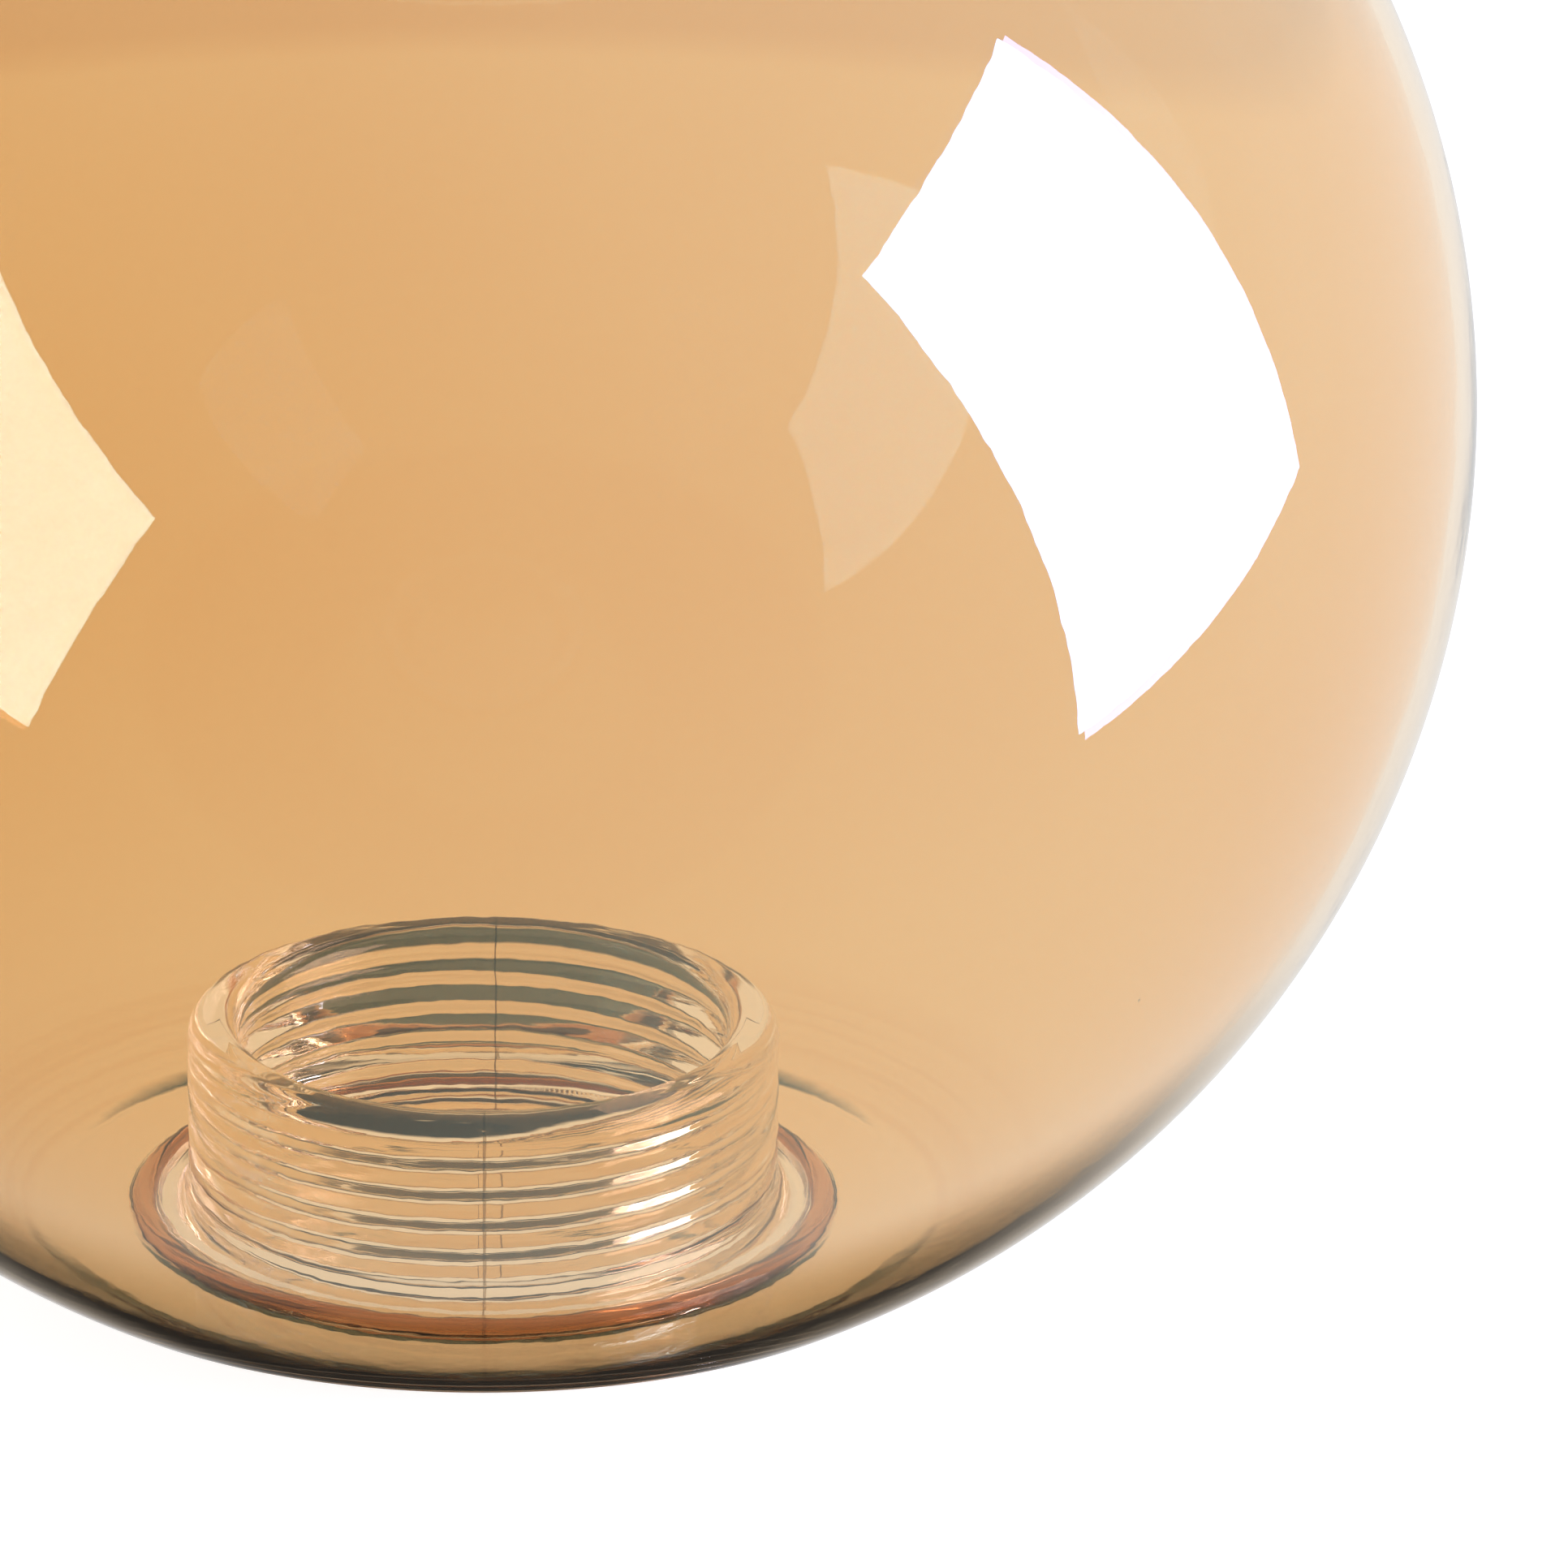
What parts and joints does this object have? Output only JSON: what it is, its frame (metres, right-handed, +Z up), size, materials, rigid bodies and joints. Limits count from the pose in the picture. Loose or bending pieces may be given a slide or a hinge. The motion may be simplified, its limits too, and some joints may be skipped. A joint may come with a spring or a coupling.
{
  "type": "globe lampshade",
  "caption": "Amber-coated glass globe lampshade with a re-entrant, internally threaded glass collar in its bottom mouth.",
  "frame": {"origin": "centre of the mouth, on the flat underside that the shade rests on", "axes": "+Z up along the globe's and the collar's common axis; +Y points away from the viewer who sees the front"},
  "size_m": [0.15, 0.15, 0.1411],
  "materials": {
    "amber_coated_glass": "clear blown glass, polished, with a thin amber vacuum coating on the inside",
    "clear_pressed_glass": "clear pressed glass, fire-polished rim, faint mould lines",
    "sealing_glass": "re-melted clear glass, glossy and slightly uneven"
  },
  "bodies": {
    "root": {"globe_shell": "amber_coated_glass", "sealing_bead": "sealing_glass", "threaded_collar": "clear_pressed_glass"}
  },
  "joints": []
}
